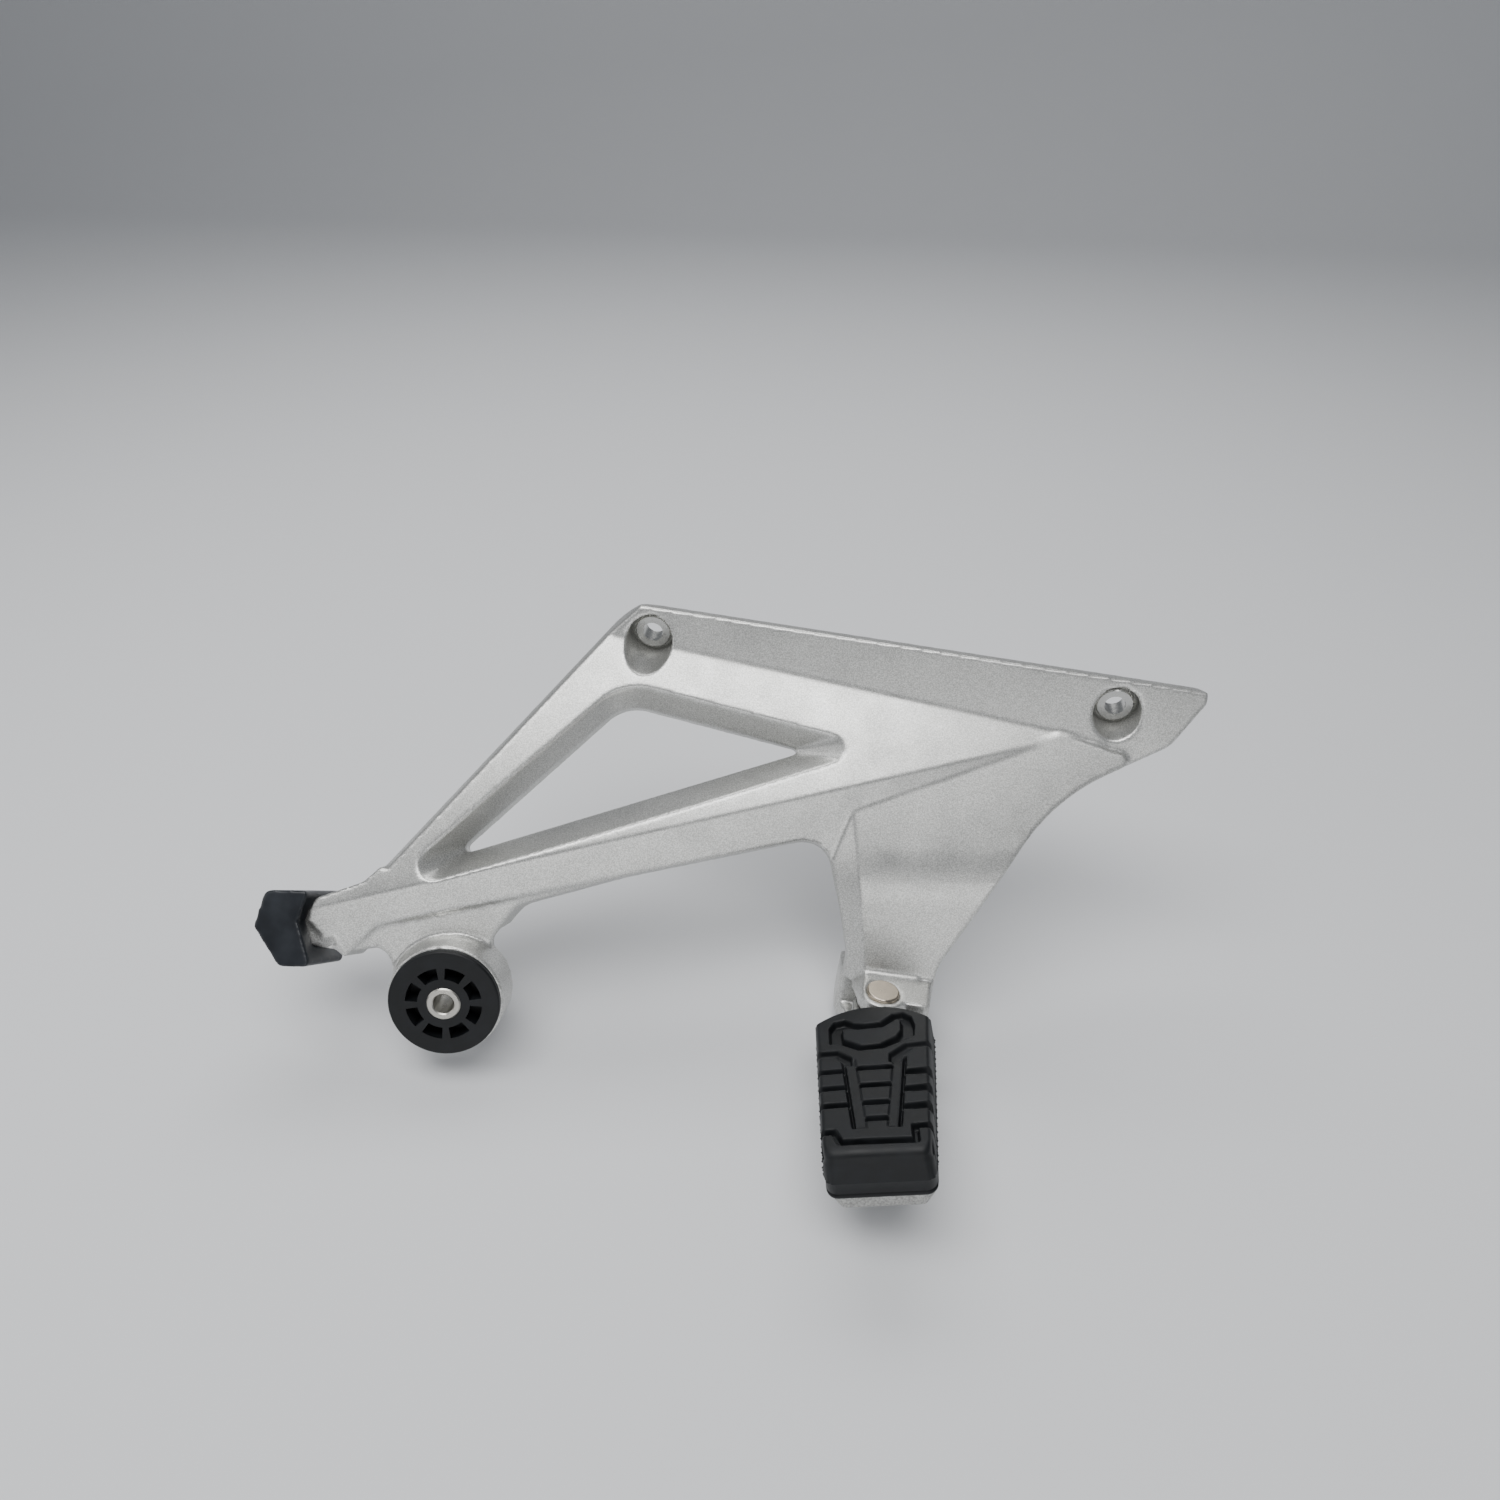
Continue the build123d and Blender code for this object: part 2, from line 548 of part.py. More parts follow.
def mount_rubber_inner():
    middle = -MOUNT_FLANGE_T - MOUNT_RING_LENGTH / 2
    back = -MOUNT_FLANGE_T - MOUNT_RING_LENGTH
    body = rod(MOUNT_BORE_R, back, middle) + rod(MOUNT_RUBBER_R, back - MOUNT_FLANGE_T, back)
    return body - rod(SLEEVE_R, -60.0, 10.0)


def mount_sleeve():
    back = -2 * MOUNT_FLANGE_T - MOUNT_RING_LENGTH - SLEEVE_PROUD
    body = tube(SLEEVE_R, SLEEVE_BORE_R, back, SLEEVE_PROUD)
    return chamfer(body.edges().group_by(Axis.Z)[-1], 0.5)


def arm_cap(hanger):
    """Rubber buffer: a block moulded round the lug on the arm's end."""
    points = [
        (ARM_TOP[0] - CAP_REACH, ARM_TOP[1] + CAP_WALL), (ARM_TIP[0] - CAP_REACH, ARM_TIP[1] - 2.5),
        (ARM_LOW[0] - CAP_REACH - 2.0, ARM_LOW[1] - CAP_WALL),
        (ARM_LOW[0] - 8.5, ARM_LOW[1] - CAP_WALL),
        (ARM_TIP[0] - CAP_GAP, ARM_TIP[1]), (ARM_TOP[0] - CAP_GAP, ARM_TOP[1] + CAP_WALL),
    ]
    shape = panel_shape(points, [3.5, 2.5, 3.5, 2.0, 0.8, 1.5])
    shell = prism(shape, -PANEL_BACK - CAP_WALL, ARM_LEVEL + CAP_WALL)
    return PANEL.location * shell - hanger


def pivot_pin():
    low = clevis_low() - WASHER_T - CLIP_T - 1.6
    shaft = rod(PIN_R, low, -PIN_RECESS)
    head = rod(PIN_HEAD_R, -PIN_RECESS, -PIN_RECESS + PIN_HEAD_T)
    head = fillet(head.edges().group_by(Axis.Z)[-1], 0.9)
    groove_top = clevis_low() - WASHER_T
    groove = tube(PIN_R + 1.0, CLIP_GROOVE_R, groove_top - CLIP_T, groove_top)
    return chamfer(shaft.edges().group_by(Axis.Z)[0], 0.5) + head - groove


def pivot_washer():
    return tube(WASHER_R, PIN_R, clevis_low() - WASHER_T, clevis_low())


def pivot_clip():
    """E-clip in the pin's groove, open to one side."""
    top = clevis_low() - WASHER_T
    ring = tube(CLIP_R, CLIP_GROOVE_R, top - CLIP_T, top)
    mouth = block(0.0, CLIP_R + 1.0, -CLIP_GROOVE_R * 0.8, CLIP_GROOVE_R * 0.8, top - 5.0, top + 5.0)
    notches = Pos(0, CLIP_R * 0.72, 0) * rod(1.2, top - 5.0, top + 5.0)
    notches += Pos(0, -CLIP_R * 0.72, 0) * rod(1.2, top - 5.0, top + 5.0)
    return ring - mouth - notches


def thrust_washer(low):
    return tube(THRUST_R, PIN_R + RUN_PLAY, low, low + THRUST_T)


# ---------------------------------------------------------------- folding peg, in the pivot frame
def pad_bottom():
    return PAD_TOP - PAD_T


def tread_plan(inset, start):
    """Plan of the tread: curved root, straight tapering sides and a blunt nose with cut corners."""
    end = PEG_ROOT + PEG_LENGTH - inset
    root_half = PEG_ROOT_WIDTH / 2 - inset
    tip_half = PEG_TIP_WIDTH / 2 - inset
    nose_half = PEG_NOSE_WIDTH / 2 - inset / 2
    shoulder = start + PEG_ROOT_ARC - math.sqrt(PEG_ROOT_ARC**2 - root_half**2)
    edge = Polyline(
        (shoulder, root_half + PEG_OFFSET), (end - PEG_NOSE_LENGTH, tip_half + PEG_OFFSET),
        (end, nose_half + PEG_OFFSET), (end, -nose_half + PEG_OFFSET),
        (end - PEG_NOSE_LENGTH, -tip_half + PEG_OFFSET), (shoulder, -root_half + PEG_OFFSET))
    root = ThreePointArc(
        (shoulder, -root_half + PEG_OFFSET), (start, PEG_OFFSET), (shoulder, root_half + PEG_OFFSET))
    return make_face(Wire([*edge.edges(), *root.edges()]))


def spine_ends():
    return PLATE_ROOT + SPINE_MARGIN / 2, PEG_ROOT + PEG_LENGTH - SPINE_MARGIN


def screw_spots():
    start, end = spine_ends()
    return [start + SCREW_INSET, end - SCREW_INSET]


def peg_core():
    """Cast core: pivot tongue, plate under the rubber and a spine inside it."""
    neck = Pos(PLATE_ROOT / 2 + 2.0, 0) * Rectangle(PLATE_ROOT + 4.0, 2 * TONGUE_R)
    tongue_shape = Circle(TONGUE_R) + neck
    tongue = prism(tongue_shape, tongue_bottom(), tongue_top())
    plate_low = pad_bottom() - PLATE_T
    plate = prism(tread_plan(PLATE_INSET, PLATE_ROOT), plate_low, pad_bottom())
    plate = fillet(plate.edges().group_by(Axis.Z)[0], 1.2)
    spine = block(PLATE_ROOT, spine_ends()[1], PEG_OFFSET - SPINE_WIDTH / 2, PEG_OFFSET + SPINE_WIDTH / 2,
                  pad_bottom() - 0.5, pad_bottom() + SPINE_RISE)
    body = PIVOT.location * tongue + TREAD.location * (plate + spine)
    body -= PIVOT.location * rod(BUSH_R, -80.0, 20.0)
    for spot in screw_spots():
        body -= TREAD.location * (Pos(spot, PEG_OFFSET, 0) * rod(SCREW_R, -80.0, 20.0))
        head_room = rod(SCREW_HEAD_R + 0.3, -80.0, plate_low + SCREW_HEAD_T)
        body -= TREAD.location * (Pos(spot, PEG_OFFSET, 0) * head_room)
    body -= PIVOT.location * (Pos(-BALL_PITCH_R, 0, 0) * rod(BALL_R + BALL_SLACK, -80.0, 20.0))
    return body


def peg_rubber(core, insert):
    """Rubber tread moulded round the spine and the threaded plate."""
    top = prism(tread_plan(0.0, PEG_ROOT), pad_bottom(), PAD_TOP)
    top = chamfer(top.edges().group_by(Axis.Z)[-1], 1.5)
    for spot in screw_spots():
        screw_room = rod(SCREW_R, pad_bottom() - 1.0, pad_bottom() + SPINE_RISE + INSERT_T)
        top -= Pos(spot, PEG_OFFSET, 0) * screw_room
    return TREAD.location * top - core - insert - PIVOT.location * rod(PEG_ROOT - 0.1, -60.0, 30.0)


def pad_insert():
    """Threaded steel plate moulded into the rubber, on top of the spine."""
    low = pad_bottom() + SPINE_RISE
    start, end = spine_ends()
    near, far = PEG_OFFSET - INSERT_WIDTH / 2, PEG_OFFSET + INSERT_WIDTH / 2
    body = block(start, end, near, far, low, low + INSERT_T)
    for spot in screw_spots():
        body -= Pos(spot, PEG_OFFSET, 0) * rod(SCREW_R, -80.0, 10.0)
    return TREAD.location * body


def pad_screws():
    plate_low = pad_bottom() - PLATE_T
    screws = []
    for spot in screw_spots():
        shank = rod(SCREW_R, plate_low + SCREW_HEAD_T, pad_bottom() + SPINE_RISE + INSERT_T)
        head = rod(SCREW_HEAD_R, plate_low, plate_low + SCREW_HEAD_T)
        socket = prism(RegularPolygon(1.7, 6), plate_low - 1.0, plate_low + 1.8)
        screws.append(TREAD.location * (Pos(spot, PEG_OFFSET, 0) * (shank + head - socket)))
    return Compound(children=screws)


def tongue_bush():
    return tube(BUSH_R, PIN_R + RUN_PLAY, tongue_bottom(), tongue_top())


def detent_ball():
    return Pos(-BALL_PITCH_R, 0, ball_height()) * Sphere(BALL_R)


def detent_spring():
    low = tongue_bottom() + DETENT_PLUG_T
    high = ball_height() - BALL_R
    return Pos(-BALL_PITCH_R, 0, 0) * tube(BALL_R - 0.2, BALL_R - 0.8, low, high)


def detent_plug():
    plug = rod(BALL_R + BALL_SLACK, tongue_bottom() + 0.3, tongue_bottom() + DETENT_PLUG_T)
    socket = prism(RegularPolygon(1.0, 6), tongue_bottom() - 1.0, tongue_bottom() + 1.5)
    return Pos(-BALL_PITCH_R, 0, 0) * (plug - socket)


# ---------------------------------------------------------------- build and write
def main():
    hanger = casting()
    core = peg_core()
    insert = pad_insert()
    nodes = {
        "hanger_casting": hanger,
        "frame_collar_rear": REAR_BOLT.location * bolt_collar(),
        "frame_collar_front": FRONT_BOLT.location * bolt_collar(),
        "mount_rubber_outer": MOUNT.location * mount_rubber_outer(),
        "mount_rubber_inner": MOUNT.location * mount_rubber_inner(),
        "mount_sleeve": MOUNT.location * mount_sleeve(),
        "arm_cap": arm_cap(hanger),
        "pivot_pin": PIVOT.location * pivot_pin(),
        "pivot_washer": PIVOT.location * pivot_washer(),
        "pivot_clip": PIVOT.location * pivot_clip(),
        "thrust_washer_upper": PIVOT.location * thrust_washer(-EAR_T - THRUST_T),
        "thrust_washer_lower": PIVOT.location * thrust_washer(-EAR_T - EAR_GAP),
        "tongue_bush": PIVOT.location * tongue_bush(),
        "peg_core": core,
        "peg_rubber": peg_rubber(core, insert),
        "pad_insert": insert,
        "pad_screws": pad_screws(),
        "detent_ball": PIVOT.location * detent_ball(),
        "detent_spring": PIVOT.location * detent_spring(),
        "detent_plug": PIVOT.location * detent_plug(),
    }
    os.makedirs("parts", exist_ok=True)
    for name, shape in nodes.items():
        export_step(shape, f"parts/{name}.step")
        print(name, "volume", round(shape.volume, 1), "solids", len(shape.solids()))


main()
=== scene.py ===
# %% [markdown]
# # A folding passenger foot peg on its cast hanger
#
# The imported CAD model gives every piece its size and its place.  This lesson gives the pieces their looks:
# a cast and painted aluminium hanger, a ribbed rubber tread, a rubber-bushed mount and small steel fittings.
# Everything is in metres, in the frame of the CAD: -Y points outboard, +X forward and +Z up.

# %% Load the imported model
import json
import math

import bmesh
import bpy
import numpy as np
from mathutils import Matrix, Vector

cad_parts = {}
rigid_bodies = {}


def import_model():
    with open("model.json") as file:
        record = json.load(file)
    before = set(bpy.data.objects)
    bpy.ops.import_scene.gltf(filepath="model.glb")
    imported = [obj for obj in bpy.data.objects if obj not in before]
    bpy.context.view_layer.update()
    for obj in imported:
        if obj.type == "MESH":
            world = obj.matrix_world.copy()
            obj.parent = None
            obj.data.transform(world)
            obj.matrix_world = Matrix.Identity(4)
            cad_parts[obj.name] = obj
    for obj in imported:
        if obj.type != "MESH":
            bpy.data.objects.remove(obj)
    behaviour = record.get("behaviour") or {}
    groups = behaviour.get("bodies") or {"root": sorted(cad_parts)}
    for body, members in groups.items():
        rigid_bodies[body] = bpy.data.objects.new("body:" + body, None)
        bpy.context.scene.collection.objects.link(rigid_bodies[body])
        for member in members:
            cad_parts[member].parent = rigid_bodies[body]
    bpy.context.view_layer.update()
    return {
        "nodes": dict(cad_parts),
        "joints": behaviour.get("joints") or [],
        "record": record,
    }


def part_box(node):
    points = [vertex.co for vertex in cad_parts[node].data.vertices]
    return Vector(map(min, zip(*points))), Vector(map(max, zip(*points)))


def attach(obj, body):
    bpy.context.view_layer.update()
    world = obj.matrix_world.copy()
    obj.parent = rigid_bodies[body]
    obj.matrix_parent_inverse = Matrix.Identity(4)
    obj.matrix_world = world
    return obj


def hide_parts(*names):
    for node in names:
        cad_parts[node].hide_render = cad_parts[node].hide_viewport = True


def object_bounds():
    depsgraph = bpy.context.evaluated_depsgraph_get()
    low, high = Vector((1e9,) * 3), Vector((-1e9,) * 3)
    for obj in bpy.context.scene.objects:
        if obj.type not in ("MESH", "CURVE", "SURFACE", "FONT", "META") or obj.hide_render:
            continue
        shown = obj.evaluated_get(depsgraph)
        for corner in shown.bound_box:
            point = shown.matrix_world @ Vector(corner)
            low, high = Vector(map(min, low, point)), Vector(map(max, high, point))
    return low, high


for leftover in list(bpy.data.objects):
    bpy.data.objects.remove(leftover)
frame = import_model()
MM = 0.001

# %% [markdown]
# ## Colours and nodes
#
# Colours are written as the sRGB hex values that a paint card would show, and one function turns them into
# the linear values that Blender works in.  One small helper adds a shader node with its settings and links.

# %% Helpers for colours and nodes
def colour(hex_value):
    """sRGB hex to linear red, green, blue and alpha."""
    parts = [int(hex_value[i:i + 2], 16) / 255 for i in (1, 3, 5)]
    linear = [c / 12.92 if c <= 0.04045 else ((c + 0.055) / 1.055) ** 2.4 for c in parts]
    return (*linear, 1.0)


def add_node(material, kind, settings=None, inputs=None, links=None):
    """Adds one node.  links maps an input's name or index to another node's output socket."""
    node = material.node_tree.nodes.new(kind)
    for name, value in (settings or {}).items():
        setattr(node, name, value)
    for name, value in (inputs or {}).items():
        node.inputs[name].default_value = value
    for name, socket in (links or {}).items():
        material.node_tree.links.new(socket, node.inputs[name])
    return node


def new_material(name, base, metallic, roughness):
    """A Principled material, and its shader node."""
    material = bpy.data.materials.new(name)
    material.use_nodes = True
    shader = material.node_tree.nodes["Principled BSDF"]
    shader.inputs["Base Color"].default_value = colour(base)
    shader.inputs["Metallic"].default_value = metallic
    shader.inputs["Roughness"].default_value = roughness
    return material, shader


def scale_for(size_mm):
    """Noise scale whose features are about this many millimetres across, on Object coordinates in metres."""
    return 1.0 / (size_mm * MM)


print("helpers ready")

# %% [markdown]
# ## Cast and painted aluminium
#
# The hanger is gravity-cast aluminium under silver paint with fine metal flake.  The eye sees three things: a
# fine sparkle, a slow unevenness from the casting under the paint, and soft highlights.  The flake is about
# 0.1 mm, too fine to show here, so it is drawn at 0.5 mm.

# %% Silver paint on cast aluminium
def flake_and_grain(material, shader, dark, light, flake_mm, grain_mm, bump_mm, rough_low, rough_high):
    """Speckled colour, blotchy roughness and a fine raised grain, all on Object coordinates."""
    place = add_node(material, "ShaderNodeTexCoord").outputs["Object"]
    flake = add_node(material, "ShaderNodeTexNoise", inputs={"Scale": scale_for(flake_mm), "Detail": 2.0},
                     links={"Vector": place})
    ramp = add_node(material, "ShaderNodeValToRGB", links={"Fac": flake.outputs["Fac"]})
    ramp.color_ramp.elements[0].position = 0.36
    ramp.color_ramp.elements[0].color = colour(dark)
    ramp.color_ramp.elements[1].position = 0.66
    ramp.color_ramp.elements[1].color = colour(light)
    blotch = add_node(material, "ShaderNodeTexNoise", inputs={"Scale": scale_for(14.0), "Detail": 3.0},
                      links={"Vector": place})
    rough = add_node(material, "ShaderNodeMapRange",
                     inputs={"From Min": 0.3, "From Max": 0.7, "To Min": rough_low, "To Max": rough_high},
                     links={"Value": blotch.outputs["Fac"]})
    grain = add_node(material, "ShaderNodeTexNoise", inputs={"Scale": scale_for(grain_mm), "Detail": 3.0},
                     links={"Vector": place})
    bump = add_node(material, "ShaderNodeBump", inputs={"Strength": 0.55, "Distance": bump_mm * MM},
                    links={"Height": grain.outputs["Fac"]})
    link = material.node_tree.links.new
    link(ramp.outputs["Color"], shader.inputs["Base Color"])
    link(rough.outputs["Result"], shader.inputs["Roughness"])
    link(bump.outputs["Normal"], shader.inputs["Normal"])


silver_paint, paint_shader = new_material("silver_flake_paint_on_cast_aluminium", "#C9C8C4", 0.8, 0.36)
flake_and_grain(silver_paint, paint_shader, "#A9A9A6", "#DADAD7", 0.5, 0.9, 0.035, 0.3, 0.39)
bare_alloy, alloy_shader = new_material("bare_cast_aluminium", "#A9A9A6", 1.0, 0.45)
flake_and_grain(bare_alloy, alloy_shader, "#8F8F8C", "#B9B9B6", 0.8, 1.2, 0.08, 0.38, 0.55)
print("cast finishes", silver_paint.name, bare_alloy.name)

# %% [markdown]
# ## Moulded rubber
#
# The tread and the bush are black EPDM rubber from a spark-eroded mould, so the skin is satin with a faint
# grain of about 0.4 mm.  A little dust greys it unevenly.  The arm's buffer has a smoother, bluer skin.

# %% Black rubbers
def rubber_skin(material, shader, dark, dusty, grain_mm, bump_mm, rough_low, rough_high):
    """Dust in slow patches over black, a fine mould grain, and roughness that follows the dust."""
    place = add_node(material, "ShaderNodeTexCoord").outputs["Object"]
    dust = add_node(material, "ShaderNodeTexNoise", inputs={"Scale": scale_for(9.0), "Detail": 6.0},
                    links={"Vector": place})
    ramp = add_node(material, "ShaderNodeValToRGB", links={"Fac": dust.outputs["Fac"]})
    ramp.color_ramp.elements[0].position = 0.42
    ramp.color_ramp.elements[0].color = colour(dark)
    ramp.color_ramp.elements[1].position = 0.78
    ramp.color_ramp.elements[1].color = colour(dusty)
    rough = add_node(material, "ShaderNodeMapRange",
                     inputs={"From Min": 0.3, "From Max": 0.75, "To Min": rough_low, "To Max": rough_high},
                     links={"Value": dust.outputs["Fac"]})
    grain = add_node(material, "ShaderNodeTexNoise", inputs={"Scale": scale_for(grain_mm), "Detail": 2.0},
                     links={"Vector": place})
    bump = add_node(material, "ShaderNodeBump", inputs={"Strength": 0.5, "Distance": bump_mm * MM},
                    links={"Height": grain.outputs["Fac"]})
    link = material.node_tree.links.new
    link(ramp.outputs["Color"], shader.inputs["Base Color"])
    link(rough.outputs["Result"], shader.inputs["Roughness"])
    link(bump.outputs["Normal"], shader.inputs["Normal"])


tread_rubber_skin, tread_shader = new_material("moulded_epdm_rubber", "#0F1113", 0.0, 0.5)
tread_shader.inputs["Specular IOR Level"].default_value = 0.3
rubber_skin(tread_rubber_skin, tread_shader, "#0C0E10", "#191B1E", 0.6, 0.03, 0.44, 0.58)
buffer_skin, buffer_shader = new_material("satin_buffer_rubber", "#12161B", 0.0, 0.4)
rubber_skin(buffer_skin, buffer_shader, "#10141A", "#1C2128", 0.8, 0.02, 0.32, 0.44)
print("rubbers", tread_rubber_skin.name, buffer_skin.name)

# %% [markdown]
# ## Turned and plated steel
#
# Collars, sleeve, pin, washers and screws are turned from bar, and the tool leaves fine rings round the axis.
# Real feed marks are about 0.1 mm apart; they are drawn at 0.35 mm so that they show.  The rings are distance
# from the piece's own axis, so a Mapping node first moves that axis to the middle and stands it upright.

# %% Turned metal with rings about an axis
WAVE_PERIOD = 0.314     # a Wave texture of scale 1 repeats after this many metres
RING_DEPTH = 0.01       # mm


def turned_metal(name, base, roughness, centre, axis, ring_mm):
    """Metal with turning rings round the line through centre along axis, both in the CAD frame."""
    material, shader = new_material(name, base, 1.0, roughness)
    place = add_node(material, "ShaderNodeTexCoord").outputs["Object"]
    turn = Vector(axis).normalized().rotation_difference(Vector((0, 0, 1)))
    moved = turn @ Vector(centre)
    upright = add_node(material, "ShaderNodeMapping",
                       inputs={"Rotation": turn.to_euler(), "Location": -moved}, links={"Vector": place})
    rings = add_node(material, "ShaderNodeTexWave",
                     settings={"wave_type": "RINGS", "rings_direction": "Z"},
                     inputs={"Scale": WAVE_PERIOD / (ring_mm * MM), "Distortion": 0.4, "Detail": 1.0},
                     links={"Vector": upright.outputs["Vector"]})
    bump = add_node(material, "ShaderNodeBump", inputs={"Strength": 0.35, "Distance": RING_DEPTH * MM},
                    links={"Height": rings.outputs["Fac"]})
    stain = add_node(material, "ShaderNodeTexNoise", inputs={"Scale": scale_for(3.0), "Detail": 4.0},
                     links={"Vector": place})
    rough = add_node(material, "ShaderNodeMapRange",
                     inputs={"From Min": 0.3, "From Max": 0.7,
                             "To Min": roughness * 0.8, "To Max": roughness * 1.3},
                     links={"Value": stain.outputs["Fac"]})
    material.node_tree.links.new(bump.outputs["Normal"], shader.inputs["Normal"])
    material.node_tree.links.new(rough.outputs["Result"], shader.inputs["Roughness"])
    return material


def middle_of(node):
    low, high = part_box(node)
    return (Vector(low) + Vector(high)) / 2


joint = frame["joints"][0]
PIN_AXIS = -Vector(joint["axis"]).normalized()
mounts = {mount["name"]: mount for mount in frame["record"]["mounts"]}
BUSH_AXIS = Vector(mounts["mount_bore"]["axis"])
BOLT_AXIS = Vector((0, -1, 0))
turned_pieces = [
    ("frame_collar_rear", "turned_steel_rear", "#BDBDBA", 0.26, BOLT_AXIS, 0.35),
    ("frame_collar_front", "turned_steel_front", "#BDBDBA", 0.26, BOLT_AXIS, 0.35),
    ("mount_sleeve", "zinc_plated_sleeve", "#B4B2AB", 0.3, BUSH_AXIS, 0.35),
    ("pivot_pin", "stainless_pin", "#B0A698", 0.22, PIN_AXIS, 0.5),
    ("pivot_washer", "zinc_plated_washer", "#B4B2AB", 0.32, PIN_AXIS, 0.35),
    ("pivot_clip", "blackened_spring_steel", "#4C4C4E", 0.36, PIN_AXIS, 0.35),
    ("tongue_bush", "sintered_bronze", "#A5814B", 0.42, PIN_AXIS, 0.35),
    ("detent_plug", "zinc_plated_plug", "#B4B2AB", 0.35, PIN_AXIS, 0.35),
    ("pad_screws", "zinc_plated_screws", "#B4B2AB", 0.32, PIN_AXIS, 0.35),
]
finishes = {
    node: turned_metal(name, base, roughness, middle_of(node), axis, ring_mm)
    for node, name, base, roughness, axis, ring_mm in turned_pieces
}
finishes["mount_rubber_outer"] = finishes["mount_rubber_inner"] = tread_rubber_skin
finishes["thrust_washer_upper"] = finishes["thrust_washer_lower"] = finishes["tongue_bush"]
finishes["detent_ball"] = finishes["pad_insert"] = finishes["detent_plug"]
finishes["detent_spring"] = finishes["pivot_clip"]
finishes["hanger_casting"] = silver_paint
finishes["peg_core"] = bare_alloy
finishes["arm_cap"] = buffer_skin
finishes["peg_rubber"] = tread_rubber_skin
for node_name, finish in finishes.items():
    slots = frame["nodes"][node_name].data.materials
    slots.clear()
    slots.append(finish)
print("finished CAD nodes", len(finishes))

# %% [markdown]
# ## Soft cast edges
#
# A casting has no sharp edges, because its mould needs a radius on every one.  The CAD solid is sharp, so its
# copy is rebuilt from small cells of even size, then relaxed.  That rounds every edge by about a millimetre
# and leaves flat faces flat.  Cutting a radius on each edge would be slower and fails where edges meet.  The
# same way suits the buffer and the peg's core.  The copy is merged first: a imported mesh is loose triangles.

# %% Rounded copies of cast and moulded pieces
MERGE_DISTANCE = 0.005      # mm; packed corners that belong together are closer than this


def softened_copy(node, name, body, material, cell_mm, passes, most_triangles=170000):
    """Copy of a CAD node, remeshed in even cells, relaxed, and thinned to a limit."""
    source = frame["nodes"][node]
    mesh = source.data.copy()
    mesh.name = name
    cells = bmesh.new()
    cells.from_mesh(mesh)
    bmesh.ops.remove_doubles(cells, verts=cells.verts, dist=MERGE_DISTANCE * MM)
    cells.to_mesh(mesh)
    cells.free()
    piece = bpy.data.objects.new(name, mesh)
    bpy.context.scene.collection.objects.link(piece)
    remesh = piece.modifiers.new("even cells", "REMESH")
    remesh.mode = "VOXEL"
    remesh.voxel_size = cell_mm * MM
    relax = piece.modifiers.new("relax", "SMOOTH")
    relax.factor = 0.5
    relax.iterations = passes
    graph = bpy.context.evaluated_depsgraph_get()
    rounded = bpy.data.meshes.new_from_object(piece.evaluated_get(graph))
    piece.modifiers.clear()
    piece.data = rounded
    triangles = sum(len(face.vertices) - 2 for face in rounded.polygons)
    if triangles > most_triangles:
        thin = piece.modifiers.new("thin", "DECIMATE")
        thin.ratio = most_triangles / triangles
        graph = bpy.context.evaluated_depsgraph_get()
        piece.data = bpy.data.meshes.new_from_object(piece.evaluated_get(graph))
        piece.modifiers.clear()
    piece.data.materials.clear()
    piece.data.materials.append(material)
    piece.data.polygons.foreach_set("use_smooth", [True] * len(piece.data.polygons))
    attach(piece, body)
    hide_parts(node)
    print(name, "triangles", triangles, "kept", sum(len(f.vertices) - 2 for f in piece.data.polygons))
    return piece


softened_copy("hanger_casting", "hanger_skin", "hanger", silver_paint, 0.9, 5)
softened_copy("arm_cap", "arm_buffer", "hanger", buffer_skin, 0.7, 6)
softened_copy("peg_core", "peg_core_skin", "peg", bare_alloy, 0.6, 3)

# %% [markdown]
# ## The ribbed tread
#
# The tread is one rubber moulding.  Its top is a height over the plan: a raised root with a curved groove
# round an island, a funnel that narrows outboard, two rails in a V with rungs between them, short side
# grooves, and a U-shaped slot before the blunt nose.  Each groove is worked out from a distance to its
# outline, so its sides are smooth at any grid size.  Cutting them with solid shapes would leave hard lips.
# The tread's own directions are a (outboard), b (forward) and s (up).

# %% The tread's frame, from the pivot
TILT, FORWARD, ROLL = math.radians(12.0), math.radians(3.1), math.radians(10.0)
PIVOT = Vector(joint["pos_m"])
OUT = Vector((math.sin(FORWARD) * math.cos(TILT), -math.cos(FORWARD) * math.cos(TILT), math.sin(TILT)))
LEVEL_UP = (Vector((0, 0, 1)) - OUT * OUT.z).normalized()
LEVEL_SIDE = LEVEL_UP.cross(OUT)
UP = LEVEL_UP * math.cos(ROLL) - LEVEL_SIDE * math.sin(ROLL)
SIDE = UP.cross(OUT)
print("tread directions", OUT, SIDE, UP)

# %% Sizes of the tread, mm
ROOT, LENGTH, OFFSET = 11.1, 81.0, -5.0
ROOT_HALF, TIP_HALF, NOSE_HALF, NOSE_CUT = 24.0, 20.0, 15.5, 5.0
ROOT_ARC = 38.0
TOP, BOTTOM = 3.0, -17.0
EDGE_RADIUS, NOSE_RADIUS = 1.6, 4.0
DRAFT = 1.1                     # the top is this much narrower than the flash line
GROOVE, SLIT_EDGE = 3.2, 0.5   # depth of a groove, and the width over which its lip rounds
SPINE = (24.0, 78.1, 8.5, 10.5)   # room for the core's spine: start, end, half width, height


def ease(value):
    """Smooth step from 0 to 1."""
    value = np.clip(value, 0.0, 1.0)
    return value * value * (3.0 - 2.0 * value)


